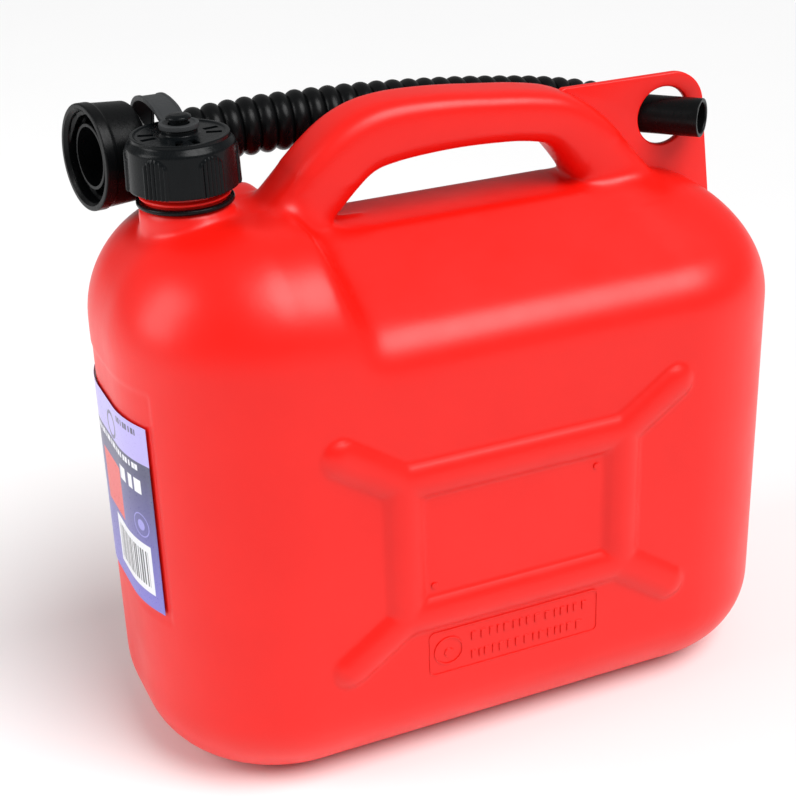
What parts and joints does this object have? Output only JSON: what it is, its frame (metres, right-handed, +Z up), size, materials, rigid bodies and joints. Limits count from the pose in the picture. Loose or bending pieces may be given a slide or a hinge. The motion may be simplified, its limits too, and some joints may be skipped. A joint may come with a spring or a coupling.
{
  "type": "jerry can",
  "caption": "Red blow-moulded plastic fuel can with a top handle, child-resistant screw cap on a retainer strap, and a flexible pouring spout stowed through the rear ear.",
  "frame": {"origin": "centre of the base, on the surface that the can stands on", "axes": "+X along the can from the neck end towards the ear, +Y across it towards the side where the spout is stowed, +Z up"},
  "size_m": [0.3183, 0.161, 0.2998],
  "materials": {
    "can_red": "satin red polyethylene with faint flow lines and a slightly waxy sheen",
    "label_print": "satin printed film",
    "strap_plastic": "satin dark grey polyethylene",
    "cap_plastic": "satin black polypropylene",
    "spout_plastic": "satin black flexible polyethylene",
    "seal_rubber": "matt rubber"
  },
  "bodies": {
    "can": {"can_body": "can_red", "label": "label_print", "retainer_ring": "strap_plastic", "retainer_strap": "strap_plastic"},
    "eyelet": {"retainer_eyelet": "strap_plastic"},
    "inner_cap": {"cap_inner": "cap_plastic", "cap_gasket": "seal_rubber"},
    "outer_cap": {"cap_shell": "cap_plastic"},
    "spout": {"spout_hose": "spout_plastic", "spout_gasket": "seal_rubber"},
    "nut": {"spout_nut": "spout_plastic"},
    "tip": {"spout_tip": "spout_plastic"}
  },
  "joints": [
    {"name": "cap_lift", "type": "slide", "parent": "can", "child": "eyelet", "axis": [0, 0, 1], "range_m": [0, 0.0151], "deforming": ["retainer_strap"]},
    {"name": "cap_turn", "type": "hinge", "parent": "eyelet", "child": "inner_cap", "pos_m": [-0.1156, 0, 0.2784], "axis": [0, 0, 1], "range_deg": [0, 1080]},
    {"name": "cap_press", "type": "slide", "parent": "inner_cap", "child": "outer_cap", "axis": [0, 0, -1], "range_m": [0, 0.0015], "stiffness_N_per_m": 1500, "springref_m": -0.004},
    {"name": "spout_pull", "type": "slide", "parent": "can", "child": "spout", "axis": [-1, 0, 0], "range_m": [0, 0.03]},
    {"name": "tip_pull", "type": "slide", "parent": "spout", "child": "tip", "axis": [0.4227, 0.906, -0.0206], "range_m": [0, 0.0256], "deforming": ["spout_hose"]},
    {"name": "nut_turn", "type": "hinge", "parent": "spout", "child": "nut", "pos_m": [-0.1478, 0.0402, 0.2749], "axis": [0.9816, 0.1855, -0.0454], "continuous": true}
  ],
  "couplings": [
    {"joint": "cap_lift", "follows": "cap_turn", "m_per_rad": 0.00079577},
    {"joint": "tip_pull", "follows": "spout_pull", "ratio": 0.84535}
  ]
}
